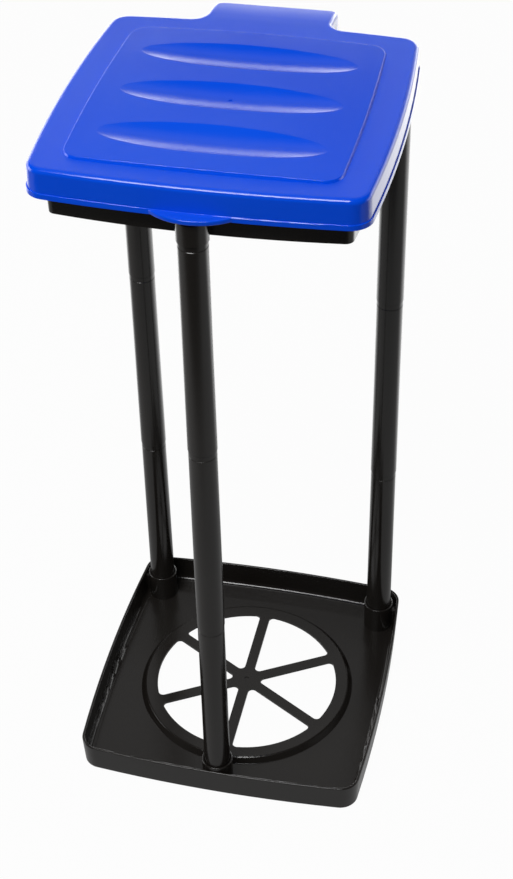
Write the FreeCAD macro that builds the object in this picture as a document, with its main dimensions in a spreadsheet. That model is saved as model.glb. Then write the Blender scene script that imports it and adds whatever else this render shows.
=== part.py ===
import FreeCAD, Part
import math
import os

import Sketcher

# Bin bag holder: a knock-down stand that carries a bin bag under a hinged lid.
#
# A square base tray holds three upright posts, each made of three push-fit
# tubes. The posts carry an open frame over which the mouth of the bag is
# folded, and a hinged lid closes down over the frame.
#
# Millimetres. X is the width, Y the depth with the front at -Y, Z is up. The
# origin lies on the floor, under the middle of the base tray.

App = FreeCAD
V = App.Vector

# Driving sizes. Each has its own name here and its own cell in the sheet.
SIZES = {
    # Base tray
    "base_width": 278.0,
    "base_depth": 280.0,
    "base_bow": 6.5,
    "base_corner": 17.0,
    "rim_height": 28.0,
    "base_taper": 1.4,
    "base_wall": 2.4,
    "floor_thick": 2.5,
    "floor_fillet": 5.0,
    "rim_round": 0.9,
    # Raised wheel in the floor of the tray
    "wheel_margin": 39.0,
    "wheel_batter": 4.0,
    "wheel_rise": 5.5,
    "wheel_plate": 2.5,
    "wheel_round": 1.8,
    "wheel_rim": 12.0,
    "window_corner": 4.5,
    "spoke_width": 10.0,
    "spoke_count": 6.0,
    "hub_mark_radius": 2.3,
    "hub_mark_depth": 0.6,
    # Sockets of the tray
    "socket_radius": 14.4,
    "socket_top": 32.0,
    "socket_seat": 10.5,
    "socket_web": 3.0,
    "socket_round": 0.8,
    "web_drop": 5.0,
    # Posts
    "post_side_inset": 24.5,
    "post_front_inset": 16.0,
    "post_back_inset": 30.5,
    "tube_pitch": 200.5,
    "tube_foot_radius": 12.25,
    "tube_head_radius": 11.85,
    "tube_wall": 1.7,
    "tube_lip": 0.5,
    "spigot_length": 15.0,
    "spigot_nose": 1.2,
    "push_gap": 0.15,
    "ring_drop": 4.5,
    "ring_width": 0.9,
    "ring_depth": 0.3,
    # Bag frame
    "frame_side_reach": 9.0,
    "frame_front_tuck": 6.0,
    "frame_back_reach": 12.5,
    "frame_bow": 7.5,
    "frame_corner": 7.0,
    "frame_height": 41.5,
    "frame_wall": 2.4,
    "frame_ledge": 8.0,
    "ledge_thick": 2.4,
    "frame_taper": 1.0,
    "cup_radius": 12.7,
    "front_cup_height": 18.0,
    "back_cup_height": 30.0,
    # Lid
    "lid_side_gap": 11.5,
    "lid_front_gap": 9.8,
    "lid_back_gap": 15.2,
    "lid_bow": 7.0,
    "lid_corner": 17.0,
    "lid_height": 24.0,
    "lid_taper": 1.0,
    "lid_wall": 2.2,
    "lid_round": 4.5,
    "seat_gap": 0.3,
    "band_height": 4.2,
    "band_step": 0.9,
    "lip_reach": 10.0,
    "lip_width": 61.0,
    "lip_thick": 4.0,
    "lip_round": 1.2,
    "panel_side_margin": 26.0,
    "panel_front_margin": 21.8,
    "panel_back_margin": 25.2,
    "panel_corner": 16.0,
    "panel_bow": 3.5,
    "panel_slope": 2.4,
    "panel_root": 1.0,
    "panel_round": 0.8,
    "crown_top": 4.0,
    "crown_radius": 4800.0,
    "scoop_side_margin": 11.5,
    "scoop_width": 41.0,
    "scoop_depth": 4.2,
    "scoop_row_inset": 43.6,
    "scoop_back_trim": 15.0,
    "lid_mark_radius": 1.6,
    "lid_mark_depth": 0.5,
    # Rear tab of the lid and its hinge
    "tab_width": 106.0,
    "tab_reach": 45.0,
    "tab_drop": 8.0,
    "tab_corner": 10.0,
    "tab_flare": 13.0,
    "hinge_reach": 24.8,
    "hinge_drop": 14.0,
    "pin_radius": 3.0,
    "pin_gap": 0.08,
    "eye_radius": 5.6,
    "arm_thick": 5.0,
    "arm_gap": 0.4,
}

doc = App.newDocument("bin_bag_holder")
sheet = doc.addObject("Spreadsheet::Sheet", "Sizes")
for row, (alias, amount) in enumerate(SIZES.items(), start=1):
    sheet.set("A%d" % row, alias)
    sheet.set("B%d" % row, str(amount))
    sheet.setAlias("B%d" % row, alias)
doc.recompute()


def size(alias):
    """Value of one cell of the sheet, in millimetres."""
    return float(sheet.get(alias))


def value(expression):
    """Present value of an expression."""
    result = sheet.evalExpression(expression)
    return float(getattr(result, "Value", result))


def bind(obj, **expressions):
    """Ties properties of an object to expressions; double underscore stands for a dot."""
    for prop, expression in expressions.items():
        obj.setExpression(prop.replace("__", "."), expression)
    return obj


def make(kind, name, **expressions):
    """Adds one Part primitive whose sizes follow the sheet."""
    return bind(doc.addObject(kind, name), **expressions)


def boolean(kind, name, shapes):
    """Adds one fuse or common of several shapes."""
    obj = doc.addObject(kind, name)
    obj.Shapes = shapes
    return obj


def cut(name, base, tool):
    """Adds one cut of a shape by another."""
    obj = doc.addObject("Part::Cut", name)
    obj.Base = base
    obj.Tool = tool
    return obj


def rounded(name, base, radius, wanted):
    """Rounds the edges of a shape that pass a test."""
    doc.recompute()
    picked = [i + 1 for i, edge in enumerate(base.Shape.Edges) if wanted(edge)]
    obj = doc.addObject("Part::Fillet", name)
    obj.Base = base
    obj.Edges = [(number, radius, radius) for number in picked]
    return obj


def upright(edge):
    """True for an edge that climbs more than it runs."""
    box = edge.BoundBox
    return box.ZLength > 2.0 * max(box.XLength, box.YLength)


def level_at(edge, height, slack=0.05):
    """True for an edge that lies level at one height."""
    box = edge.BoundBox
    return box.ZLength < slack and abs(box.Center.z - height) < slack


def origin_part(body, role):
    """Origin plane or axis of a body, found by its role."""
    return next(o for o in body.Origin.OriginFeatures if o.Role == role)


def body_sketch(body, name, role):
    """Empty sketch of a body, attached to one of the body's own planes."""
    sketch = body.newObject("Sketcher::SketchObject", name)
    sketch.AttachmentSupport = [(origin_part(body, role), "")]
    sketch.MapMode = "FlatFace"
    return sketch


def tie(sketch, expression, kind, *elements):
    """Adds one dimension to a sketch and ties it to an expression."""
    index = sketch.addConstraint(Sketcher.Constraint(kind, *elements, value(expression)))
    sketch.setExpression("Constraints[%d]" % index, expression)


def bowed_outline(name, width, front, back, bow, corner, level):
    """Closed plan of four gently bowed sides and four round corners.

    All arguments but the name are expressions. front and back are the reach
    of the middle of those sides from the origin of the plan.
    """
    half_x = "((%s) / 2)" % width
    half_y = "(((%s) + (%s)) / 2)" % (front, back)
    mid_y = "(((%s) - (%s)) / 2)" % (back, front)
    radius_x = "((%s^2 + (%s)^2) / (2 * (%s)))" % (half_y, bow, bow)
    radius_y = "((%s^2 + (%s)^2) / (2 * (%s)))" % (half_x, bow, bow)
    sketch = doc.addObject("Sketcher::SketchObject", name)
    bind(sketch, Placement__Base__z=level)
    small = value(corner)
    # Right, rear, left and front side, each with the middle of its circle.
    sides = []
    for turn, radius, reach in ((0, radius_x, half_x), (1, radius_y, back),
                                (2, radius_x, half_x), (3, radius_y, front)):
        depth = "(%s - (%s))" % (radius, reach)
        away = V(-math.cos(turn * math.pi / 2), -math.sin(turn * math.pi / 2), 0)
        middle = away * value(depth)
        if turn % 2 == 0:
            middle.y = value(mid_y)
        sides.append((middle, value(radius), radius, depth))
    # Each corner circle touches its two sides from inside.
    corners = []
    for i in range(4):
        (one, far_one, _, _), (two, far_two, _, _) = sides[i], sides[(i + 1) % 4]
        span = (two - one).Length
        along = ((far_one - small) ** 2 - (far_two - small) ** 2 + span ** 2) / (2 * span)
        rise = math.sqrt((far_one - small) ** 2 - along ** 2)
        axis = (two - one) / span
        normal = V(-axis.y, axis.x, 0)
        quadrant = V((1, -1, -1, 1)[i], (1, 1, -1, -1)[i], 0)
        if normal.dot(quadrant) < 0:
            normal = normal * -1
        corners.append(one + axis * along + normal * rise)

    def angle(start, end):
        return math.atan2(end.y - start.y, end.x - start.x)

    for i in range(4):
        middle, radius = sides[i][0], sides[i][1]
        sketch.addGeometry(Part.ArcOfCircle(
            Part.Circle(middle, V(0, 0, 1), radius),
            angle(middle, corners[(i + 3) % 4]), angle(middle, corners[i])), False)
        sketch.addGeometry(Part.ArcOfCircle(
            Part.Circle(corners[i], V(0, 0, 1), small),
            angle(middle, corners[i]), angle(sides[(i + 1) % 4][0], corners[i])), False)
    for i in range(8):
        sketch.addConstraint(Sketcher.Constraint("Tangent", i, 2, (i + 1) % 8, 1))
    for i in range(4):
        tie(sketch, sides[i][2], "Radius", 2 * i)
        tie(sketch, corner, "Radius", 2 * i + 1)
        depth = sides[i][3]
        if i % 2:
            sketch.addConstraint(Sketcher.Constraint("PointOnObject", 2 * i, 3, -2))
            ends = (2 * i, 3, -1, 1) if i == 1 else (-1, 1, 2 * i, 3)
            tie(sketch, depth, "DistanceY", *ends)
        else:
            ends = (2 * i, 3, -1, 1) if i == 0 else (-1, 1, 2 * i, 3)
            tie(sketch, depth, "DistanceX", *ends)
            if value(mid_y) == 0:
                sketch.addConstraint(Sketcher.Constraint("PointOnObject", 2 * i, 3, -1))
            elif value(mid_y) > 0:
                tie(sketch, mid_y, "DistanceY", -1, 1, 2 * i, 3)
            else:
                tie(sketch, "-" + mid_y, "DistanceY", 2 * i, 3, -1, 1)
    return sketch


def bowed_block(name, width, front, back, bow, corner, low, height, flare):
    """Block raised from a bowed outline.

    Its foot has the given plan, and its top is wider all round by flare.
    """
    outline = bowed_outline(name + "_plan", width, front, back, bow, corner, low)
    block = doc.addObject("Part::Extrusion", name)
    block.Base = outline
    block.DirMode = "Custom"
    block.Dir = V(0, 0, 1)
    block.Solid = True
    return bind(block, LengthFwd=height, TaperAngle="atan((%s) / (%s))" % (flare, height))


def turned_body(name, corners):
    """Body turned about Z from a closed half section.

    corners is a list of pairs of expressions, the radius and the height of
    each corner, in order.
    """
    body = doc.addObject("PartDesign::Body", name)
    sketch = body_sketch(body, name + "_section", "XZ_Plane")
    guess = [V(value(radius), value(height), 0) for radius, height in corners]
    count = len(guess)
    for i in range(count):
        sketch.addGeometry(Part.LineSegment(guess[i], guess[(i + 1) % count]), False)
    for i in range(count):
        sketch.addConstraint(Sketcher.Constraint("Coincident", i, 2, (i + 1) % count, 1))
        if guess[i].x == 0:
            sketch.addConstraint(Sketcher.Constraint("PointOnObject", i, 1, -2))
        else:
            tie(sketch, corners[i][0], "DistanceX", -1, 1, i, 1)
        if guess[i].y == 0:
            sketch.addConstraint(Sketcher.Constraint("PointOnObject", i, 1, -1))
        else:
            tie(sketch, corners[i][1], "DistanceY", -1, 1, i, 1)
    turn = body.newObject("PartDesign::Revolution", name + "_turn")
    turn.Profile = sketch
    turn.ReferenceAxis = (origin_part(body, "Z_Axis"), [""])
    turn.Angle = 360.0
    body.Tip = turn
    return body


def box(name, x, y, z, length, width, height):
    """Box from its lowest corner and its sizes, all as expressions."""
    return make("Part::Box", name, Length=length, Width=width, Height=height,
                Placement__Base__x=x, Placement__Base__y=y, Placement__Base__z=z)


def post_cylinder(name, radius, x, y, low, height):
    """Upright cylinder at a place, all as expressions."""
    return make("Part::Cylinder", name, Radius=radius, Height=height,
                Placement__Base__x=x, Placement__Base__y=y, Placement__Base__z=low)


def cross_cylinder(name, radius, x, y, z, length):
    """Cylinder that lies along X from a place, all as expressions."""
    rod = doc.addObject("Part::Cylinder", name)
    rod.Placement.Rotation = App.Rotation(V(0, 1, 0), 90)
    return bind(rod, Radius=radius, Height=length, Placement__Base__x=x,
                Placement__Base__y=y, Placement__Base__z=z)


# Reaches from the origin and heights that several pieces share, as expressions.
# The posts follow the tray, the bag frame follows the posts, the lid follows
# the frame, and the panel, the tab and the hinge follow the lid.
POST_X = "(Sizes.base_width / 2 - Sizes.post_side_inset)"
POST_FRONT = "(Sizes.base_depth / 2 - Sizes.post_front_inset)"
POST_BACK = "(Sizes.base_depth / 2 - Sizes.post_back_inset)"
WHEEL = "(Sizes.base_depth / 2 - Sizes.wheel_margin)"
WHEEL_FOOT = "(%s + Sizes.wheel_batter)" % WHEEL
FRAME_HALF = "(%s + Sizes.frame_side_reach)" % POST_X
FRAME_FRONT = "(%s - Sizes.frame_front_tuck)" % POST_FRONT
FRAME_BACK = "(%s + Sizes.frame_back_reach)" % POST_BACK
LID_HALF = "(%s + Sizes.lid_side_gap)" % FRAME_HALF
LID_FRONT = "(%s + Sizes.lid_front_gap)" % FRAME_FRONT
LID_BACK = "(%s + Sizes.lid_back_gap)" % FRAME_BACK
PANEL_HALF_X = "(%s - Sizes.panel_side_margin)" % LID_HALF
PANEL_FRONT = "(%s - Sizes.panel_front_margin)" % LID_FRONT
PANEL_BACK = "(%s - Sizes.panel_back_margin)" % LID_BACK
PANEL_HALF_Y = "((%s + %s) / 2)" % (PANEL_BACK, PANEL_FRONT)
PANEL_MIDDLE = "((%s - %s) / 2)" % (PANEL_BACK, PANEL_FRONT)
TAB_BACK = "(%s + Sizes.tab_reach)" % LID_BACK
HINGE_Y = "(%s + Sizes.hinge_reach)" % LID_BACK

WHEEL_TOP = "(Sizes.floor_thick + Sizes.wheel_rise)"
FRAME_LOW = "(Sizes.socket_seat + 3 * Sizes.tube_pitch)"
FRAME_TOP = "(%s + Sizes.frame_height)" % FRAME_LOW
LID_TOP = "(%s + Sizes.seat_gap + Sizes.lid_wall)" % FRAME_TOP
LID_LOW = "(%s - Sizes.lid_height)" % LID_TOP
CROWN = "(%s + Sizes.crown_top)" % LID_TOP
HINGE_Z = "(%s - Sizes.hinge_drop)" % LID_TOP

# Bore of a tube, and the spigot that is pushed into it.
BORE = "(Sizes.tube_foot_radius - Sizes.tube_wall)"
SPIGOT = "(%s - Sizes.push_gap)" % BORE

# Where the three posts stand.
POSTS = (
    ("front", "0", "-" + POST_FRONT),
    ("left", "-" + POST_X, POST_BACK),
    ("right", POST_X, POST_BACK),
)


def wheel_body():
    """Raised plate of the tray floor, cut into a rim, a hub and spokes."""
    inner = "(%s - Sizes.wheel_plate / 2)" % WHEEL
    under = "(%s - Sizes.wheel_plate)" % WHEEL_TOP
    body = turned_body("wheel", [
        ("0", under),
        (inner, under),
        (WHEEL_FOOT + " - Sizes.wheel_plate", "0"),
        (WHEEL_FOOT, "0"),
        (WHEEL_FOOT, "Sizes.floor_thick"),
        (WHEEL, WHEEL_TOP),
        ("0", WHEEL_TOP),
    ])
    # One window lies between the spoke along +Y and the next one clockwise.
    sketch = body_sketch(body, "window", "XY_Plane")
    step = 360.0 / size("spoke_count")
    window = "(%s - Sizes.wheel_rim)" % WHEEL
    half, reach = size("spoke_width") / 2, value(window)
    lean = math.radians(90.0 - step)
    along = math.sqrt(reach ** 2 - half ** 2)
    tip = V(half, half / math.tan(math.radians(step / 2)), 0)
    near = V(half, along, 0)
    far = V(along * math.cos(lean) - half * math.sin(lean),
            along * math.sin(lean) + half * math.cos(lean), 0)
    sketch.addGeometry(Part.LineSegment(tip, near), False)
    sketch.addGeometry(Part.LineSegment(far, tip), False)
    sketch.addGeometry(Part.ArcOfCircle(
        Part.Circle(V(0, 0, 0), V(0, 0, 1), reach),
        math.atan2(far.y, far.x), math.atan2(near.y, near.x)), False)
    sketch.addConstraint(Sketcher.Constraint("Coincident", 0, 1, 1, 2))
    sketch.addConstraint(Sketcher.Constraint("Coincident", 2, 3, -1, 1))
    sketch.addConstraint(Sketcher.Constraint("Coincident", 2, 1, 1, 1))
    sketch.addConstraint(Sketcher.Constraint("Coincident", 2, 2, 0, 2))
    sketch.addConstraint(Sketcher.Constraint("Vertical", 0))
    tie(sketch, window, "Radius", 2)
    tie(sketch, "Sizes.spoke_width / 2", "DistanceX", -1, 1, 0, 1)
    # The line from the tip to the middle of the hub halves the window.
    middle = sketch.addGeometry(Part.LineSegment(V(0, 0, 0), tip), True)
    sketch.addConstraint(Sketcher.Constraint("Coincident", middle, 1, -1, 1))
    sketch.addConstraint(Sketcher.Constraint("Coincident", middle, 2, 0, 1))
    sketch.addConstraint(Sketcher.Constraint("Symmetric", 2, 1, 2, 2, middle))
    tie(sketch, "Sizes.spoke_width / 2 / tan(180 / Sizes.spoke_count)", "DistanceY",
        -1, 1, 0, 1)
    pocket = body.newObject("PartDesign::Pocket", "window_cut")
    pocket.Profile = sketch
    pocket.Type = "ThroughAll"
    pocket.Reversed = True
    body.Tip = pocket
    pattern = body.newObject("PartDesign::PolarPattern", "window_pattern")
    pattern.Originals = [pocket]
    pattern.Axis = (origin_part(body, "Z_Axis"), [""])
    pattern.Angle = 360.0
    pattern.setExpression("Occurrences", "Sizes.spoke_count")
    body.Tip = pattern
    doc.recompute()
    edges = pattern.Shape.Edges
    soft = body.newObject("PartDesign::Fillet", "window_corners")
    soft.Base = (pattern, ["Edge%d" % (i + 1) for i, edge in enumerate(edges) if upright(edge)])
    soft.setExpression("Radius", "Sizes.window_corner")
    body.Tip = soft
    doc.recompute()
    wide = 1.9 * value(WHEEL)
    shoulder = body.newObject("PartDesign::Fillet", "wheel_shoulder")
    shoulder.Base = (soft, [
        "Edge%d" % (i + 1) for i, edge in enumerate(soft.Shape.Edges)
        if level_at(edge, value(WHEEL_TOP)) and edge.BoundBox.XLength > wide])
    shoulder.setExpression("Radius", "Sizes.wheel_round")
    body.Tip = shoulder
    return body


def base_tray():
    """Tray moulding: bowed walls, spoked wheel in the floor, three sockets."""
    foot = "(Sizes.base_width - 2 * Sizes.base_taper)"
    half = "(Sizes.base_depth / 2 - Sizes.base_taper)"
    outside = bowed_block("tray_outside", foot, half, half, "Sizes.base_bow",
                          "Sizes.base_corner", "0", "Sizes.rim_height", "Sizes.base_taper")
    inner_half = "(%s - Sizes.base_wall)" % half
    room = bowed_block(
        "tray_room", foot + " - 2 * Sizes.base_wall", inner_half, inner_half,
        "Sizes.base_bow", "Sizes.base_corner - Sizes.base_wall", "Sizes.floor_thick",
        "Sizes.rim_height - Sizes.floor_thick", "Sizes.base_taper")
    soft_room = rounded("tray_room_soft", room, size("floor_fillet"),
                        lambda edge: level_at(edge, size("floor_thick")))
    shell = cut("tray_shell", outside, soft_room)
    soft_shell = rounded("tray_rim", shell, size("rim_round"),
                         lambda edge: level_at(edge, size("rim_height")))
    opened = cut("tray_opened", soft_shell, post_cylinder(
        "wheel_seat", WHEEL_FOOT + " - Sizes.wheel_plate / 2", "0", "0", "-1",
        "Sizes.floor_thick + 2"))
    solids = [opened, wheel_body()]
    for side, x, y in POSTS:
        solids.append(post_cylinder("socket_" + side, "Sizes.socket_radius", x, y, "0",
                                    "Sizes.socket_top"))
    # A web joins each back socket to the side wall next to it.
    sag = "(%s^2 * Sizes.base_bow / (Sizes.base_depth / 2)^2)" % POST_BACK
    reach = "(Sizes.base_width / 2 - %s - Sizes.base_taper - Sizes.base_wall / 3)" % sag
    for side, x in (("left", "-" + reach), ("right", POST_X)):
        solids.append(box("web_" + side, x, POST_BACK + " - Sizes.socket_web / 2",
                          "0", "%s - %s" % (reach, POST_X), "Sizes.socket_web",
                          "Sizes.rim_height - Sizes.web_drop"))
    joined = boolean("Part::MultiFuse", "tray_joined", solids)
    tools = [post_cylinder("hub_mark", "Sizes.hub_mark_radius", "0", "0",
                           WHEEL_TOP + " - Sizes.hub_mark_depth", "2")]
    for side, x, y in POSTS:
        tools.append(post_cylinder(
            "socket_bore_" + side, "Sizes.tube_foot_radius + Sizes.push_gap", x, y,
            "Sizes.socket_seat", "Sizes.socket_top"))
        tools.append(post_cylinder(
            "socket_core_" + side, "Sizes.tube_foot_radius", x, y, "-1",
            "Sizes.socket_seat - Sizes.floor_thick + 1"))
    tray = cut("tray_cut", joined, boolean("Part::MultiFuse", "tray_tools", tools))
    ring = value(WHEEL_FOOT)
    return rounded(
        "base_tray", tray, size("socket_round"),
        lambda edge: (level_at(edge, size("socket_top")) and edge.Length > 2)
        or (level_at(edge, size("floor_thick")) and edge.Length > 2 * ring))


def tube(name, x, y, low):
    """One post tube: wide foot, slight taper, ring mark and spigot at the head."""
    def side(height):
        return ("(Sizes.tube_foot_radius + (Sizes.tube_head_radius - Sizes.tube_foot_radius)"
                " * (%s) / Sizes.tube_pitch)" % height)

    ring_top = "(Sizes.tube_pitch - Sizes.ring_drop)"
    ring_low = "(%s - Sizes.ring_width)" % ring_top
    head = "(Sizes.tube_pitch + Sizes.spigot_length)"
    throat = "(%s - Sizes.tube_wall)" % SPIGOT
    body = turned_body(name, [
        (BORE, "0"),
        ("Sizes.tube_foot_radius - Sizes.tube_lip", "0"),
        (side("Sizes.tube_lip"), "Sizes.tube_lip"),
        (side(ring_low), ring_low),
        (side(ring_low) + " - Sizes.ring_depth", ring_low + " + Sizes.ring_depth"),
        (side(ring_top) + " - Sizes.ring_depth", ring_top + " - Sizes.ring_depth"),
        (side(ring_top), ring_top),
        ("Sizes.tube_head_radius", "Sizes.tube_pitch"),
        (SPIGOT, "Sizes.tube_pitch"),
        (SPIGOT, head + " - Sizes.spigot_nose"),
        (SPIGOT + " - Sizes.spigot_nose / 2", head),
        (throat, head),
        (throat, ring_top),
        ("Sizes.tube_head_radius - Sizes.tube_wall", ring_top + " - 2 * Sizes.tube_wall"),
        (BORE, "Sizes.spigot_length + Sizes.tube_wall"),
    ])
    return bind(body, Placement__Base__x=x, Placement__Base__y=y, Placement__Base__z=low)


def bag_frame():
    """Open frame that holds the mouth of the bag, with three cups and the hinge arms."""
    edge_in = "(2 * %s - 2 * Sizes.frame_taper)" % FRAME_HALF
    front = "(%s - Sizes.frame_taper)" % FRAME_FRONT
    back = "(%s - Sizes.frame_taper)" % FRAME_BACK
    outside = bowed_block("frame_outside", edge_in, front, back, "Sizes.frame_bow",
                          "Sizes.frame_corner", FRAME_LOW, "Sizes.frame_height",
                          "Sizes.frame_taper")
    wall = "Sizes.frame_wall"
    room = bowed_block(
        "frame_room", "%s - 2 * %s" % (edge_in, wall), "%s - %s" % (front, wall),
        "%s - %s" % (back, wall), "Sizes.frame_bow", "Sizes.frame_corner - " + wall,
        FRAME_LOW, "Sizes.frame_height - Sizes.ledge_thick", "Sizes.frame_taper")
    ledge = "(Sizes.frame_wall + Sizes.frame_ledge)"
    mouth = bowed_block(
        "frame_mouth", "%s - 2 * %s" % (edge_in, ledge),
        "%s - %s" % (front, ledge), "%s - %s" % (back, ledge),
        "Sizes.frame_bow", "Sizes.frame_corner", FRAME_LOW,
        "Sizes.frame_height + Sizes.frame_wall", "Sizes.frame_taper")
    ring = cut("frame_ring", outside, boolean("Part::MultiFuse", "frame_hollow", [room, mouth]))
    solids = [rounded("frame_ring_soft", ring, size("rim_round"),
                      lambda edge: level_at(edge, value(FRAME_TOP)))]
    bores = []
    for side, x, y in POSTS:
        height = "Sizes.front_cup_height" if side == "front" else "Sizes.back_cup_height"
        solids.append(post_cylinder("cup_" + side, "Sizes.cup_radius", x, y, FRAME_LOW, height))
        bores.append(post_cylinder("cup_bore_" + side, BORE, x, y, FRAME_LOW + " - 1",
                                   height + " - Sizes.frame_wall + 1"))
    # Each arm ends in an eye, whose pin points outwards into the cheek of the lid.
    cheek = "(Sizes.tab_width / 2 - Sizes.lid_wall)"
    pin = "(Sizes.arm_gap + Sizes.lid_wall)"
    root = "(%s - 1.5 * Sizes.frame_wall)" % FRAME_BACK
    for side in ("left", "right"):
        if side == "left":
            start = "-%s + Sizes.arm_gap" % cheek
            tip = "-%s - Sizes.lid_wall" % cheek
        else:
            start = "%s - Sizes.arm_gap - Sizes.arm_thick" % cheek
            tip = "%s - Sizes.arm_gap - Sizes.arm_thick / 2" % cheek
        solids.append(box("arm_" + side, start, root, HINGE_Z + " - Sizes.eye_radius",
                          "Sizes.arm_thick", "%s - %s" % (HINGE_Y, root),
                          "2 * Sizes.eye_radius"))
        solids.append(cross_cylinder("eye_" + side, "Sizes.eye_radius", start,
                                     HINGE_Y, HINGE_Z, "Sizes.arm_thick"))
        solids.append(cross_cylinder("pin_" + side, "Sizes.pin_radius", tip,
                                     HINGE_Y, HINGE_Z, pin + " + Sizes.arm_thick / 2"))
    joined = boolean("Part::MultiFuse", "frame_joined", solids)
    return cut("bag_frame", joined, boolean("Part::MultiFuse", "cup_bores", bores))


def top_rim(shape, low):
    """Edges above a level that part the top of a form from its upright sides."""
    def wanted(edge):
        if edge.BoundBox.ZMin < low or upright(edge):
            return False
        middle = edge.valueAt((edge.FirstParameter + edge.LastParameter) / 2)
        steep = []
        for face in shape.ancestorsOfType(edge, Part.Face):
            u, v = face.Surface.parameter(middle)
            steep.append(abs(face.normalAt(u, v).z) < 0.5)
        return len(steep) == 2 and steep[0] != steep[1]

    return wanted


def lid_form(name, inset, drop):
    """Outer or inner form of the lid with its rear tab, inset by an expression."""
    low = "(%s - %s)" % (LID_LOW, drop)
    height = "(Sizes.lid_height - %s + %s)" % (inset, drop)
    main = bowed_block(
        name + "_main", "2 * (%s - %s)" % (LID_HALF, inset), "%s - %s" % (LID_FRONT, inset),
        "%s - %s" % (LID_BACK, inset), "Sizes.lid_bow", "Sizes.lid_corner - " + inset,
        low, height, "-Sizes.lid_taper")
    width = "(Sizes.tab_width - 2 * %s)" % inset
    fold = "(%s - Sizes.lid_taper)" % LID_BACK
    plate = box(name + "_tab_plate", "-%s / 2" % width, "0", low, width,
                "%s - %s" % (TAB_BACK, inset), height)
    # The top of the tab bends down in one arc that starts level.
    reach = "(%s - %s)" % (TAB_BACK, fold)
    bend = "((%s^2 + Sizes.tab_drop^2) / (2 * Sizes.tab_drop))" % reach
    drum = cross_cylinder(name + "_bend", "%s - %s" % (bend, inset), "-Sizes.tab_width",
                          fold, "%s - %s" % (LID_TOP, bend), "2 * Sizes.tab_width")
    above = box(name + "_above", "-Sizes.tab_width", fold, low + " - 1",
                "2 * Sizes.tab_width", reach + " + 1", height + " + 3")
    whole = boolean("Part::MultiFuse", name + "_whole", [main, plate])
    half_tab = value(width) / 2
    back = value(LID_BACK) + 1.0
    flared = rounded(name + "_flared", whole, size("tab_flare") + value(inset),
                     lambda edge: upright(edge) and 0 < edge.BoundBox.Center.y < back
                     and abs(abs(edge.BoundBox.Center.x) - half_tab) < 0.5)
    nosed = rounded(name + "_nosed", flared, size("tab_corner") - value(inset),
                    lambda edge: upright(edge) and edge.BoundBox.Center.y > back)
    return cut(name + "_form", nosed, cut(name + "_over_tab", above, drum))


def panel_form(name, inset):
    """Raised panel of the lid with its crowned top, inset by an expression."""
    root = "(%s - Sizes.panel_root - %s)" % (LID_TOP, inset)
    block = bowed_block(
        name + "_block", "2 * (%s - %s)" % (PANEL_HALF_X, inset),
        "%s - %s" % (PANEL_FRONT, inset), "%s - %s" % (PANEL_BACK, inset), "Sizes.panel_bow",
        "Sizes.panel_corner - " + inset, root,
        "Sizes.crown_top + Sizes.panel_root", "-Sizes.panel_slope")
    ball = make("Part::Sphere", name + "_crown", Radius="Sizes.crown_radius - " + inset,
                Placement__Base__y=PANEL_MIDDLE,
                Placement__Base__z="%s - Sizes.crown_radius" % CROWN)
    crowned = doc.addObject("Part::Common", name)
    crowned.Base = block
    crowned.Tool = ball
    return crowned


def scoop_forms(name, grow, trim):
    """Three long spheroids that sink into the crown, grown and trimmed by expressions."""
    half_y = "(Sizes.scoop_width / 2)"
    half_x = "(%s - Sizes.scoop_side_margin)" % PANEL_HALF_X
    pitch = "(%s - Sizes.scoop_row_inset)" % PANEL_HALF_Y
    ball = "((%s^2 + Sizes.scoop_depth^2) / (2 * Sizes.scoop_depth))" % half_y
    forms = []
    for i in (-1, 0, 1):
        shift = "(%d * %s)" % (i, pitch)
        sag = "(%s^2 / (2 * Sizes.crown_radius))" % shift
        forms.append(make(
            "Part::Ellipsoid", "%s_%d" % (name, i + 2),
            Radius1="%s + %s" % (ball, grow),
            Radius2="%s * %s / %s - %s" % (ball, half_x, half_y, trim),
            Radius3="%s + %s" % (ball, grow),
            Placement__Base__y="%s + %s" % (PANEL_MIDDLE, shift),
            Placement__Base__z="%s - %s - Sizes.scoop_depth + %s" % (CROWN, sag, ball)))
    return forms


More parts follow.
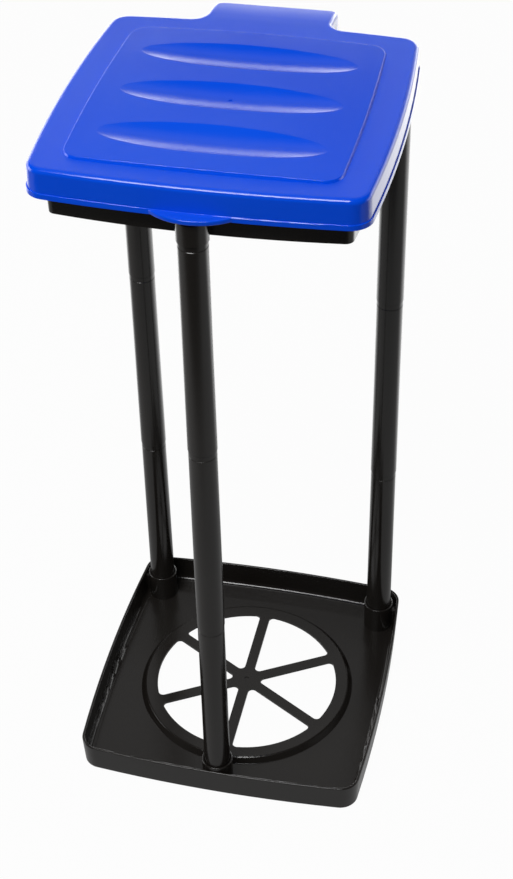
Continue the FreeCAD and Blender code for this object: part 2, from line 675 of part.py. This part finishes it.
def lid():
    """Lid moulding: skirt and band, raised panel with three scoops, lip and rear tab."""
    outer = lid_form("lid_outer", "0", "0")
    doc.recompute()
    soft = rounded("lid_soft", outer, size("lid_round"),
                   top_rim(outer.Shape, value(LID_LOW) + 1))
    step = "Sizes.band_step"
    band = bowed_block("lid_band", "2 * (%s + %s)" % (LID_HALF, step),
                       "%s + %s" % (LID_FRONT, step), "%s + %s" % (LID_BACK, step),
                       "Sizes.lid_bow", "Sizes.lid_corner + " + step, LID_LOW,
                       "Sizes.band_height", "-Sizes.band_step / 4")
    soft_band = rounded("lid_band_soft", band, size("band_step") * 0.6,
                        lambda edge: level_at(edge, value(LID_LOW) + size("band_height")))
    reach = "Sizes.lip_reach"
    arc = "(((Sizes.lip_width / 2)^2 + %s^2) / (2 * %s))" % (reach, reach)
    lip = post_cylinder("lip", arc, "0", "%s - %s - %s - %s" % (arc, reach, LID_FRONT, step),
                        LID_LOW, "Sizes.lip_thick")
    soft_lip = rounded("lip_soft", lip, size("lip_round"),
                       lambda edge: edge.BoundBox.ZLength < 0.1)
    panel = panel_form("panel", "0")
    doc.recompute()
    soft_panel = rounded("panel_soft", panel, size("panel_round"),
                         top_rim(panel.Shape, value(LID_TOP)))
    solid = boolean("Part::MultiFuse", "lid_solid", [soft, soft_band, soft_lip, soft_panel])
    room = boolean("Part::MultiFuse", "lid_room", [
        lid_form("lid_inner", "Sizes.lid_wall", "1"), panel_form("panel_room", "Sizes.lid_wall")])
    # The backs of the scoops are left standing in the hollow.
    backs = boolean("Part::MultiFuse", "scoop_backs",
                    scoop_forms("scoop_back", "Sizes.lid_wall", "Sizes.scoop_back_trim"))
    shell = cut("lid_shell", solid, cut("lid_hollow", room, backs))
    tools = scoop_forms("scoop", "0", "0")
    tools.append(post_cylinder("lid_mark", "Sizes.lid_mark_radius", "0", PANEL_MIDDLE,
                               "%s - Sizes.scoop_depth - Sizes.lid_mark_depth" % CROWN,
                               "Sizes.scoop_depth"))
    tools.append(cross_cylinder("pin_holes", "Sizes.pin_radius + Sizes.pin_gap",
                                "-Sizes.tab_width", HINGE_Y, HINGE_Z,
                                "2 * Sizes.tab_width"))
    return cut("lid", shell, boolean("Part::MultiFuse", "lid_tools", tools))


pieces = [base_tray()]
for place, post_x, post_y in POSTS:
    for step_up, level in enumerate(("lower", "middle", "upper")):
        pieces.append(tube("%s_%s_tube" % (place, level), post_x, post_y,
                           "Sizes.socket_seat + %d * Sizes.tube_pitch" % step_up))
pieces.append(bag_frame())
pieces.append(lid())
doc.recompute()

for item in doc.Objects:
    if "Invalid" in item.State or "Error" in item.State:
        raise RuntimeError("%s did not build" % item.Name)
for piece in pieces:
    piece.Label = piece.Name
    shape = piece.Shape
    if shape.isNull() or not shape.isValid() or len(shape.Solids) != 1:
        raise RuntimeError("%s is not one sound solid" % piece.Name)

os.makedirs("parts", exist_ok=True)
for piece in pieces:
    piece.Shape.exportStep("parts/%s.step" % piece.Name)
    print("%-18s %8.1f cm3" % (piece.Name, piece.Shape.Volume / 1000))
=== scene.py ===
"""Looks of the bin bag holder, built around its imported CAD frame.

A black stand of tray, posts and bag frame carries a blue hinged lid. Every
piece follows the CAD solids. The finishes, the light and the camera are made
here. Lengths are metres, in the frame of the CAD.
"""

import logging
import math
from collections.abc import Iterable
from dataclasses import dataclass, field
from enum import Enum

import bmesh
import bpy
from mathutils import Matrix, Vector

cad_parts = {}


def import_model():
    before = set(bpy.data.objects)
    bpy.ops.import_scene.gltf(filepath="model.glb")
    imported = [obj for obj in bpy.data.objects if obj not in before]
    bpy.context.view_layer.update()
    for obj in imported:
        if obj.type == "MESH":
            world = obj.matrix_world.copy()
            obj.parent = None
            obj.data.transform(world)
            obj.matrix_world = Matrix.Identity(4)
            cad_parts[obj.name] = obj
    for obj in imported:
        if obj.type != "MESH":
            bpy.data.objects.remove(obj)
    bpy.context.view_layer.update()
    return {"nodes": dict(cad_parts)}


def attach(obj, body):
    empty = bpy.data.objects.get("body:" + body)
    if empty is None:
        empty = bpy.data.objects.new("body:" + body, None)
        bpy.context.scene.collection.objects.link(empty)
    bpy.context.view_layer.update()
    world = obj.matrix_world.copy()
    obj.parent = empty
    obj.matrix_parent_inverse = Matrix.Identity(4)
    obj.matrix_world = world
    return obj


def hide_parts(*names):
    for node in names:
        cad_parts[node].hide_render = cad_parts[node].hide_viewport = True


LOG = logging.getLogger("bin_bag_holder")
MM = 0.001
# Vertices of one CAD node that lie this close together are one.
WELD_GAP = 0.002 * MM
# Faces thinner than this are taken out.
SLIVER = 0.0005 * MM
# Above 50, the larger faces round a vertex lead its shading.
LARGE_FACES_LEAD = 60

Colour = tuple[float, float, float, float]
Place = tuple[float, float, float]
Span = tuple[float, float]


class Body(Enum):
    """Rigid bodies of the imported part."""

    STAND = "stand"
    LID = "lid"


class Slot(Enum):
    """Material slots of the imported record."""

    STAND = "stand_plastic"
    LID = "lid_plastic"


def add_node(tree: bpy.types.NodeTree, kind: str, **values: object) -> bpy.types.Node:
    """Adds one shader node.

    Args:
        tree: The node tree that gets the node.
        kind: Blender's type name of the node.
        **values: Attributes of the node, set by name.

    Returns:
        The new node.
    """
    node = tree.nodes.new(kind)
    for name, value in values.items():
        setattr(node, name, value)
    return node


def link(tree: bpy.types.NodeTree, source: bpy.types.NodeSocket,
         target: bpy.types.NodeSocket) -> None:
    """Joins two sockets of a tree."""
    tree.links.new(source, target)


def ramp(tree: bpy.types.NodeTree, source: bpy.types.NodeSocket, span: Span,
         reach: Span = (0.0, 1.0), eased: bool = False) -> bpy.types.NodeSocket:
    """Maps one range of a value to another and holds it at the ends.

    Args:
        tree: The node tree.
        source: The value that is mapped.
        span: Where the ramp starts and ends.
        reach: What it puts out there.
        eased: True for a ramp with soft ends.

    Returns:
        The mapped value.
    """
    node = add_node(tree, "ShaderNodeMapRange",
                    interpolation_type="SMOOTHSTEP" if eased else "LINEAR")
    node.inputs["From Min"].default_value, node.inputs["From Max"].default_value = span
    node.inputs["To Min"].default_value, node.inputs["To Max"].default_value = reach
    link(tree, source, node.inputs["Value"])
    return node.outputs["Result"]


def combine(tree: bpy.types.NodeTree, operation: str,
            *values: bpy.types.NodeSocket | float) -> bpy.types.NodeSocket:
    """Combines values by arithmetic.

    Args:
        tree: The node tree.
        operation: Blender's name of the sum.
        *values: Sockets, or numbers for inputs that stay the same.

    Returns:
        The result.
    """
    node = add_node(tree, "ShaderNodeMath", operation=operation)
    for value, target in zip(values, node.inputs):
        if isinstance(value, float):
            target.default_value = value
        else:
            link(tree, value, target)
    return node.outputs[0]


def blend(tree: bpy.types.NodeTree, share: bpy.types.NodeSocket,
          first: bpy.types.NodeSocket, second: bpy.types.NodeSocket) -> bpy.types.NodeSocket:
    """Blends two shaders.

    Args:
        tree: The node tree.
        share: Share of the second shader.
        first: The first shader.
        second: The second shader.

    Returns:
        The blended shader.
    """
    node = add_node(tree, "ShaderNodeMixShader")
    for source, target in zip((share, first, second), node.inputs):
        link(tree, source, target)
    return node.outputs["Shader"]


def shown_by_ray(tree: bpy.types.NodeTree, lit: bpy.types.NodeSocket,
                 mirrored: bpy.types.NodeSocket, seen: bpy.types.NodeSocket,
                 seen_share: float) -> bpy.types.NodeSocket:
    """Gives light, reflections and the camera a shader each.

    Args:
        tree: Node tree of the floor or the world.
        lit: Shader that scatters light.
        mirrored: Shader that reflections show.
        seen: Shader that the camera sees.
        seen_share: Share of it in what the camera sees.

    Returns:
        The shader that does all three.
    """
    ray = add_node(tree, "ShaderNodeLightPath")
    shiny = combine(tree, "MAXIMUM", ray.outputs["Is Glossy Ray"],
                    ray.outputs["Is Transmission Ray"])
    camera = combine(tree, "MULTIPLY", ray.outputs["Is Camera Ray"], seen_share)
    return blend(tree, camera, blend(tree, shiny, lit, mirrored), seen)


@dataclass(frozen=True)
class MouldGrain:
    """Fine grain of an etched mould, shared by both plastics.

    Attributes:
        pit_softness: How far neighbouring pits run into each other.
        pit_share: Share of the pits in the height.
        dust_detail: Detail of the fine noise among the pits.
        haze_detail: Detail of the slow noise.
        haze_roughness: Weight of the finer layers of the slow noise.
        haze_span: Values of the slow noise at which the haze starts and is full.
    """

    pit_softness: float = 0.6
    pit_share: float = 0.6
    dust_detail: float = 3.0
    haze_detail: float = 2.0
    haze_roughness: float = 0.4
    haze_span: Span = (0.35, 0.65)

    def build(self) -> bpy.types.ShaderNodeTree:
        """Builds the grain as a node group.

        Returns:
            A group that takes Object coordinates and puts out a height for
            bump, and a slow mask of handling for colour and roughness.
        """
        group = bpy.data.node_groups.new("moulded_grain", "ShaderNodeTree")
        face = group.interface
        face.new_socket("Coordinates", in_out="INPUT", socket_type="NodeSocketVector")
        for name in ("Grain Scale", "Haze Scale"):
            face.new_socket(name, in_out="INPUT", socket_type="NodeSocketFloat")
        for name in ("Height", "Haze"):
            face.new_socket(name, in_out="OUTPUT", socket_type="NodeSocketFloat")
        start = add_node(group, "NodeGroupInput")
        end = add_node(group, "NodeGroupOutput")
        pits = add_node(group, "ShaderNodeTexVoronoi", feature="SMOOTH_F1")
        pits.inputs["Smoothness"].default_value = self.pit_softness
        dust = add_node(group, "ShaderNodeTexNoise")
        dust.inputs["Detail"].default_value = self.dust_detail
        cloud = add_node(group, "ShaderNodeTexNoise")
        cloud.inputs["Detail"].default_value = self.haze_detail
        cloud.inputs["Roughness"].default_value = self.haze_roughness
        for texture, scale in ((pits, "Grain Scale"), (dust, "Grain Scale"),
                               (cloud, "Haze Scale")):
            link(group, start.outputs["Coordinates"], texture.inputs["Vector"])
            link(group, start.outputs[scale], texture.inputs["Scale"])
        height = combine(group, "MULTIPLY_ADD", pits.outputs["Distance"], self.pit_share,
                         dust.outputs["Fac"])
        haze = ramp(group, cloud.outputs["Fac"], self.haze_span, eased=True)
        link(group, height, end.inputs["Height"])
        link(group, haze, end.inputs["Haze"])
        return group


@dataclass(frozen=True)
class EtchedTop:
    """Etched top of a lid whose sides are polished.

    Attributes:
        margin_satin: Roughness that the etching adds on the margin.
        panel_satin: The same on the raised panel.
        tab_satin: Roughness that the deeper etching of the tab adds to that.
        panel_foot: Height of the margin, above which a face is part of the panel.
        panel_step: Rise over which the panel's etching takes over.
        panel_middle: Middle of the scooped part of the panel in plan.
        panel_half: Half its width and depth. Its scoops dip below the margin.
        panel_edge: Span of that half size over which the scooped part ends.
        tab_span: Y at which the tab's etching starts and is full.
        upward: Upward part of the normal at which the etching starts and is full.
    """

    margin_satin: float
    panel_satin: float
    tab_satin: float
    panel_foot: float
    panel_step: float
    panel_middle: tuple[float, float]
    panel_half: tuple[float, float]
    panel_edge: Span
    tab_span: Span
    upward: Span

    def faces_up(self, tree: bpy.types.NodeTree,
                 where: bpy.types.Node) -> bpy.types.NodeSocket:
        """Finds the faces that look up.

        Args:
            tree: Node tree of the material.
            where: Its Texture Coordinate node.

        Returns:
            A mask, 1 where the etching is full.
        """
        turned = add_node(tree, "ShaderNodeSeparateXYZ")
        link(tree, where.outputs["Normal"], turned.inputs["Vector"])
        return ramp(tree, turned.outputs["Z"], self.upward, eased=True)

    def satin(self, tree: bpy.types.NodeTree,
              where: bpy.types.Node) -> bpy.types.NodeSocket:
        """Finds how rough the etching is.

        Args:
            tree: Node tree of the material.
            where: Its Texture Coordinate node.

        Returns:
            The roughness that the etching adds.
        """
        plan = add_node(tree, "ShaderNodeSeparateXYZ")
        link(tree, where.outputs["Object"], plan.inputs["Vector"])
        raised = ramp(tree, plan.outputs["Z"],
                      (self.panel_foot, self.panel_foot + self.panel_step))
        panel = combine(tree, "MAXIMUM", self._scooped(tree, where), raised)
        top = ramp(tree, panel, (0.0, 1.0), (self.margin_satin, self.panel_satin))
        tab = ramp(tree, plan.outputs["Y"], self.tab_span, (0.0, self.tab_satin), eased=True)
        return combine(tree, "ADD", top, tab)

    def _scooped(self, tree: bpy.types.NodeTree,
                 where: bpy.types.Node) -> bpy.types.NodeSocket:
        """Finds the scooped part of the panel.

        Args:
            tree: Node tree of the material.
            where: Its Texture Coordinate node.

        Returns:
            A mask, 1 inside the scooped part.
        """
        offset = add_node(tree, "ShaderNodeVectorMath", operation="SUBTRACT")
        offset.inputs[1].default_value = self.panel_middle + (0.0,)
        span = add_node(tree, "ShaderNodeVectorMath", operation="DIVIDE")
        span.inputs[1].default_value = self.panel_half + (1.0,)
        reach = add_node(tree, "ShaderNodeVectorMath", operation="ABSOLUTE")
        placed = add_node(tree, "ShaderNodeSeparateXYZ")
        link(tree, where.outputs["Object"], offset.inputs[0])
        link(tree, offset.outputs["Vector"], span.inputs[0])
        link(tree, span.outputs["Vector"], reach.inputs[0])
        link(tree, reach.outputs["Vector"], placed.inputs["Vector"])
        outer = combine(tree, "MAXIMUM", placed.outputs["X"], placed.outputs["Y"])
        return ramp(tree, outer, self.panel_edge)


@dataclass(frozen=True)
class MouldedPlastic:
    """Coloured moulded plastic with a fine grain.

    Attributes:
        name: Name of the material.
        colour: Base colour, linear.
        hazed: Base colour where handling has dulled it.
        roughness: Roughness of the clean and of the hazed plastic.
        grain_scale: Pits per metre.
        grain_depth: Depth of the grain.
        haze_scale: Scale of the haze.
        specular: Specular level.
        etched_top: The etching, where only faces that look up have the grain.
    """

    name: str
    colour: Colour
    hazed: Colour
    roughness: Span
    grain_scale: float
    grain_depth: float
    haze_scale: float
    specular: float
    etched_top: EtchedTop | None = None

    def build(self, grain: bpy.types.ShaderNodeTree) -> bpy.types.Material:
        """Makes the material.

        Args:
            grain: The shared grain group.

        Returns:
            The new material.
        """
        material = bpy.data.materials.new(self.name)
        material.use_nodes = True
        tree = material.node_tree
        tree.nodes.clear()
        out = add_node(tree, "ShaderNodeOutputMaterial")
        shader = add_node(tree, "ShaderNodeBsdfPrincipled")
        shader.inputs["Specular IOR Level"].default_value = self.specular
        where = add_node(tree, "ShaderNodeTexCoord")
        pattern = add_node(tree, "ShaderNodeGroup", node_tree=grain)
        pattern.inputs["Grain Scale"].default_value = self.grain_scale
        pattern.inputs["Haze Scale"].default_value = self.haze_scale
        tint = add_node(tree, "ShaderNodeMix", data_type="RGBA")
        tint.inputs["A"].default_value = self.colour
        tint.inputs["B"].default_value = self.hazed
        bump = add_node(tree, "ShaderNodeBump")
        bump.inputs["Distance"].default_value = self.grain_depth
        rough = ramp(tree, pattern.outputs["Haze"], (0.0, 1.0), self.roughness)
        if self.etched_top:
            up = self.etched_top.faces_up(tree, where)
            satin = self.etched_top.satin(tree, where)
            rough = combine(tree, "MULTIPLY_ADD", up, satin, rough)
            link(tree, up, bump.inputs["Strength"])
        link(tree, where.outputs["Object"], pattern.inputs["Coordinates"])
        link(tree, pattern.outputs["Haze"], tint.inputs["Factor"])
        link(tree, pattern.outputs["Height"], bump.inputs["Height"])
        link(tree, tint.outputs["Result"], shader.inputs["Base Color"])
        link(tree, rough, shader.inputs["Roughness"])
        link(tree, bump.outputs["Normal"], shader.inputs["Normal"])
        link(tree, shader.outputs["BSDF"], out.inputs["Surface"])
        return material


LID_FINISH = MouldedPlastic(
    name="blue_lid_plastic",
    colour=(0.0003, 0.060, 0.635, 1.0),
    hazed=(0.0008, 0.066, 0.645, 1.0),
    roughness=(0.12, 0.15),
    grain_scale=1500.0,
    grain_depth=0.08 * MM,
    haze_scale=7.0,
    specular=0.38,
    etched_top=EtchedTop(
        margin_satin=0.22,
        panel_satin=0.06,
        tab_satin=0.18,
        panel_foot=0.65605,
        panel_step=0.3 * MM,
        panel_middle=(0.0, 0.003),
        panel_half=(0.098, 0.094),
        panel_edge=(1.01, 0.99),
        tab_span=(0.136, 0.148),
        upward=(0.80, 0.97),
    ),
)
STAND_FINISH = MouldedPlastic(
    name="black_stand_plastic",
    colour=(0.0100, 0.0084, 0.0072, 1.0),
    hazed=(0.0128, 0.0112, 0.0098, 1.0),
    roughness=(0.17, 0.23),
    grain_scale=1100.0,
    grain_depth=0.02 * MM,
    haze_scale=8.0,
    specular=0.5,
)


@dataclass(frozen=True)
class Crease:
    """Which edges between two CAD faces stay sharp.

    Attributes:
        turn_deg: An edge that turns by more than this is sharp.
        level_deg: The same beside a face that lies level, so that wide level
            faces shade evenly and the rims of the scoops stay crisp.
        level_rise: Upward part of the normal from which a face is level.
    """

    turn_deg: float = 24.0
    level_deg: float = 1.0
    level_rise: float = 0.999

    def keeps(self, edge: bmesh.types.BMEdge) -> bool:
        """Tells whether an edge stays sharp.

        Args:
            edge: An edge of a merged mesh.

        Returns:
            True for a sharp edge.
        """
        if not edge.is_manifold:
            return True
        level = any(abs(face.normal.z) > self.level_rise for face in edge.link_faces)
        limit = self.level_deg if level else self.turn_deg
        return edge.calc_face_angle(math.pi) > math.radians(limit)


def merged_copy(node: bpy.types.Object, name: str, crease: Crease) -> bpy.types.Object:
    """Copies a CAD node into a clean piece with smooth curved faces.

    The loose triangles of a CAD node are joined only within one CAD face, so
    their open edges are where two CAD faces meet. Only there can the piece
    have a crease.

    Args:
        node: The CAD node.
        name: Name of the new piece.
        crease: Says which of the meeting edges stay sharp.

    Returns:
        The new object, at the origin.
    """
    mesh = bpy.data.meshes.new(name)
    shape = bmesh.new()
    shape.from_mesh(node.data)
    for edge in shape.edges:
        edge.seam = edge.is_boundary
    bmesh.ops.remove_doubles(shape, verts=shape.verts, dist=WELD_GAP)
    bmesh.ops.dissolve_degenerate(shape, edges=shape.edges, dist=SLIVER)
    for face in shape.faces:
        face.smooth = True
    for edge in shape.edges:
        edge.smooth = not (edge.seam and crease.keeps(edge))
        edge.seam = False
    shape.to_mesh(mesh)
    shape.free()
    piece = bpy.data.objects.new(name, mesh)
    bpy.context.scene.collection.objects.link(piece)
    shading = piece.modifiers.new("large_faces_lead", "WEIGHTED_NORMAL")
    shading.mode = "FACE_AREA_WITH_ANGLE"
    shading.keep_sharp = True
    shading.weight = LARGE_FACES_LEAD
    return piece


def dress(piece: bpy.types.Object, material: bpy.types.Material) -> None:
    """Gives a piece one material in place of any it has."""
    piece.data.materials.clear()
    piece.data.materials.append(material)


@dataclass
class Stand:
    """Black tray, posts and bag frame.

    Attributes:
        crease: Which edges of the black pieces stay sharp.
        post_sides: Posts of the stand.
        levels: Tubes of a post, from the floor up.
    """

    crease: Crease = Crease()
    post_sides: tuple[str, ...] = ("front", "left", "right")
    levels: tuple[str, ...] = ("lower", "middle", "upper")

    def build(self, nodes: dict[str, bpy.types.Object],
              material: bpy.types.Material) -> list[bpy.types.Object]:
        """Makes the black pieces.

        Args:
            nodes: CAD nodes by name.
            material: The black plastic.

        Returns:
            The pieces made.
        """
        names = ["base_tray", "bag_frame"]
        names += [f"{side}_{level}_tube" for side in self.post_sides for level in self.levels]
        pieces = []
        for name in names:
            piece = merged_copy(nodes[name], name + "_skin", self.crease)
            dress(piece, material)
            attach(piece, Body.STAND.value)
            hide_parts(name)
            pieces.append(piece)
        return pieces


@dataclass
class Lid:
    """Blue hinged lid.

    Attributes:
        crease: Which edges of the lid stay sharp.
    """

    crease: Crease = Crease()

    def build(self, nodes: dict[str, bpy.types.Object],
              material: bpy.types.Material) -> list[bpy.types.Object]:
        """Makes the lid.

        Args:
            nodes: CAD nodes by name.
            material: The blue plastic.

        Returns:
            The pieces made.
        """
        piece = merged_copy(nodes["lid"], "lid_skin", self.crease)
        dress(piece, material)
        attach(piece, Body.LID.value)
        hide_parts("lid")
        return [piece]


@dataclass(frozen=True)
class PhotoCamera:
    """Camera at the photograph's place.

    Attributes:
        frame_px: Width and height of the picture.
        focal_px: Focal length in pixels.
        azimuth_deg: Turn of the view about Z.
        elevation_deg: Height of the view.
        roll_deg: Roll about the line of sight.
        place: Place of the lens.
        axis_px: Pixel that the optical axis meets.
        sensor_mm: Height of the sensor.
        far_clip: How far the camera sees.
    """

    frame_px: tuple[int, int] = (513, 879)
    focal_px: float = 1765.25
    azimuth_deg: float = 14.816
    elevation_deg: float = 39.527
    roll_deg: float = -2.281
    place: Place = (0.29009, -1.16984, 1.32361)
    axis_px: tuple[float, float] = (218.16, 431.70)
    sensor_mm: float = 36.0
    far_clip: float = 50.0

    def build(self) -> None:
        """Makes the camera and sets it as the scene's."""
        width, height = self.frame_px
        data = bpy.data.cameras.new("photo_camera")
        data.sensor_fit = "VERTICAL"
        data.sensor_height = self.sensor_mm
        data.lens = self.focal_px / height * self.sensor_mm
        data.shift_x = (width / 2 - self.axis_px[0]) / height
        data.shift_y = (self.axis_px[1] - height / 2) / height
        data.clip_end = self.far_clip
        camera = bpy.data.objects.new("photo_camera", data)
        camera.matrix_world = Matrix.Translation(self.place) @ self._turn()
        bpy.context.scene.collection.objects.link(camera)
        bpy.context.scene.camera = camera

    def _turn(self) -> Matrix:
        """Works out how the camera is turned.

        Returns:
            Its rotation, with the columns right, up and back.
        """
        azimuth, elevation, roll = (
            math.radians(angle)
            for angle in (self.azimuth_deg, self.elevation_deg, self.roll_deg))
        back = Vector((math.sin(azimuth) * math.cos(elevation),
                       -math.cos(azimuth) * math.cos(elevation),
                       math.sin(elevation)))
        level = Vector((math.cos(azimuth), math.sin(azimuth), 0.0))
        rise = level.cross(-back)
        right = level * math.cos(roll) + rise * math.sin(roll)
        up = rise * math.cos(roll) - level * math.sin(roll)
        return Matrix((right, up, back)).transposed().to_4x4()


@dataclass(frozen=True)
class SoftBox:
    """One white area lamp, which the camera doesn't see.

    Attributes:
        name: Name of the lamp.
        place: Middle of the lamp.
        aim: Point that it faces.
        size: Width and height.
        watts: Power.
    """

    name: str
    place: Place
    aim: Place
    size: tuple[float, float]
    watts: float

    def build(self) -> None:
        """Makes the lamp."""
        data = bpy.data.lights.new(self.name, "AREA")
        data.shape = "RECTANGLE"
        data.size, data.size_y = self.size
        data.energy = self.watts
        lamp = bpy.data.objects.new(self.name, data)
        way = Vector(self.aim) - Vector(self.place)
        lamp.matrix_world = (Matrix.Translation(self.place)
                             @ way.to_track_quat("-Z", "Y").to_matrix().to_4x4())
        lamp.visible_camera = False
        bpy.context.scene.collection.objects.link(lamp)


def photo_lamps() -> list[SoftBox]:
    """Lists the lamps that light the object as in the photograph."""
    return [
        SoftBox("key", (-0.30, -1.05, 2.40), (0.0, 0.0, 0.45), (1.1, 0.8), 43.0),
        SoftBox("back_high", (0.0, 1.60, 2.05), (0.0, 0.0, 0.30), (2.4, 0.8), 3.0),
        SoftBox("back_low", (0.0, 2.60, 0.50), (0.0, 0.0, 0.62), (3.0, 0.5), 8.0),
        SoftBox("left", (-2.2, -0.10, 0.55), (0.0, 0.0, 0.35), (1.0, 1.6), 20.0),
    ]


@dataclass
class Studio:
    """White floor, soft lamps and a pale world.

    Attributes:
        floor_half: Half the width of the floor.
        floor_drop: How far it lies under the tray, so that they don't share a plane.
        floor_grey: Grey of the floor where it scatters light.
        floor_glow: Share of plain white in the floor that the camera sees.
        painted_glow_near_span: Y at which the floor's painted glow near the object starts to
            show in reflections, and from which it shows in full.
        painted_glow_near: Strength of that painted glow in reflections before and after that.
        painted_glow_behind_span: Y at which the floor's painted glow behind the object starts
            to show in reflections, and from which it shows in full.
        painted_glow_behind: Strength of that painted glow in reflections, brighter than
            white.
        world_light: Strength of the world on surfaces.
        world_gloss: Least strength of the world in reflections.
        world_seen: Strength of the world as the background, where 1 is white.
        sky_back: Strength of the backdrop in reflections, at the horizon.
        sky_turn: Y part of a ray at which the backdrop starts and is full.
        sky_fade: Z part of a ray at which it starts to dim and is gone.
        lamps: The soft boxes.
    """

    floor_half: float = 6.0
    floor_drop: float = 0.2 * MM
    floor_grey: float = 0.36
    floor_glow: float = 0.97
    painted_glow_near_span: Span = (-0.88, -0.50)
    painted_glow_near: Span = (0.05, 0.42)
    painted_glow_behind_span: Span = (0.0, 0.6)
    painted_glow_behind: float = 1.9
    world_light: float = 0.30
    world_gloss: float = 0.012
    world_seen: float = 0.98
    sky_back: float = 4.8
    sky_turn: Span = (-0.1, 0.4)
    sky_fade: Span = (0.0, 0.46)
    lamps: list[SoftBox] = field(default_factory=photo_lamps)

    def build(self) -> None:
        """Makes the floor, the lamps and the world."""
        self._floor()
        for lamp in self.lamps:
            lamp.build()
        self._world()

    def _floor(self) -> None:
        """Makes the white floor, which keeps a soft shadow and shows a painted glow in
        reflections.
        """
        shape = bmesh.new()
        bmesh.ops.create_grid(shape, x_segments=1, y_segments=1, size=self.floor_half)
        bmesh.ops.translate(shape, verts=shape.verts, vec=(0.0, 0.0, -self.floor_drop))
        mesh = bpy.data.meshes.new("studio_floor")
        shape.to_mesh(mesh)
        shape.free()
        floor = bpy.data.objects.new("studio_floor", mesh)
        bpy.context.scene.collection.objects.link(floor)
        dress(floor, self._floor_finish())

    def _floor_finish(self) -> bpy.types.Material:
        """Makes the floor's material.

        Returns:
            The new material.
        """
        material = bpy.data.materials.new("floor_white")
        material.use_nodes = True
        tree = material.node_tree
        tree.nodes.clear()
        out = add_node(tree, "ShaderNodeOutputMaterial")
        matt = add_node(tree, "ShaderNodeBsdfDiffuse")
        matt.inputs["Color"].default_value = (self.floor_grey,) * 3 + (1.0,)
        glow = add_node(tree, "ShaderNodeEmission")
        mirrored = add_node(tree, "ShaderNodeEmission")
        where = add_node(tree, "ShaderNodeTexCoord")
        parts = add_node(tree, "ShaderNodeSeparateXYZ")
        link(tree, where.outputs["Object"], parts.inputs["Vector"])
        # Painted glow: in reflections the floor shines as a light, faint in front of the
        # object and brighter than white behind it, though it is no lamp.
        behind = ramp(tree, parts.outputs["Y"], self.painted_glow_behind_span, (0.0, self.painted_glow_behind),
                      eased=True)
        front = ramp(tree, parts.outputs["Y"], self.painted_glow_near_span, self.painted_glow_near, eased=True)
        strength = combine(tree, "MAXIMUM", behind, front)
        link(tree, strength, mirrored.inputs["Strength"])
        surface = shown_by_ray(tree, matt.outputs["BSDF"], mirrored.outputs["Emission"],
                               glow.outputs["Emission"], self.floor_glow)
        link(tree, surface, out.inputs["Surface"])
        return material

    def _world(self) -> None:
        """Makes a world that shows white and lights softly."""
        world = bpy.data.worlds.new("studio_world")
        bpy.context.scene.world = world
        world.use_nodes = True
        tree = world.node_tree
        tree.nodes.clear()
        out = add_node(tree, "ShaderNodeOutputWorld")
        plain = add_node(tree, "ShaderNodeBackground")
        plain.inputs["Strength"].default_value = self.world_light
        mirrored = add_node(tree, "ShaderNodeBackground")
        link(tree, self._backdrop(tree), mirrored.inputs["Strength"])
        seen = add_node(tree, "ShaderNodeBackground")
        seen.inputs["Color"].default_value = (1.0, 1.0, 1.0, 1.0)
        seen.inputs["Strength"].default_value = self.world_seen
        surface = shown_by_ray(tree, plain.outputs["Background"],
                               mirrored.outputs["Background"],
                               seen.outputs["Background"], 1.0)
        link(tree, surface, out.inputs["Surface"])

    def _backdrop(self, tree: bpy.types.NodeTree) -> bpy.types.NodeSocket:
        """Brightens the world in reflections towards the horizon behind the object.

        Args:
            tree: Node tree of the world.

        Returns:
            The strength of the world in reflections.
        """
        where = add_node(tree, "ShaderNodeTexCoord")
        parts = add_node(tree, "ShaderNodeSeparateXYZ")
        link(tree, where.outputs["Generated"], parts.inputs["Vector"])
        back = ramp(tree, parts.outputs["Y"], self.sky_turn, eased=True)
        low = ramp(tree, parts.outputs["Z"], self.sky_fade, (self.sky_back, 0.0), eased=True)
        return combine(tree, "MULTIPLY_ADD", back, low, self.world_gloss)


def main() -> None:
    """Builds the pieces, the studio and the camera around the frame."""
    logging.basicConfig(level=logging.INFO, format="%(name)s: %(message)s")
    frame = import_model()
    grain = MouldGrain().build()
    black = STAND_FINISH.build(grain)
    blue = LID_FINISH.build(grain)
    for part, material in ((Stand(), black), (Lid(), blue)):
        for piece in part.build(frame["nodes"], material):
            LOG.info("%s: %d faces", piece.name, len(piece.data.polygons))
    Studio().build()
    PhotoCamera().build()
    bpy.context.scene.view_settings.view_transform = "Standard"


if __name__ == "__main__":
    main()
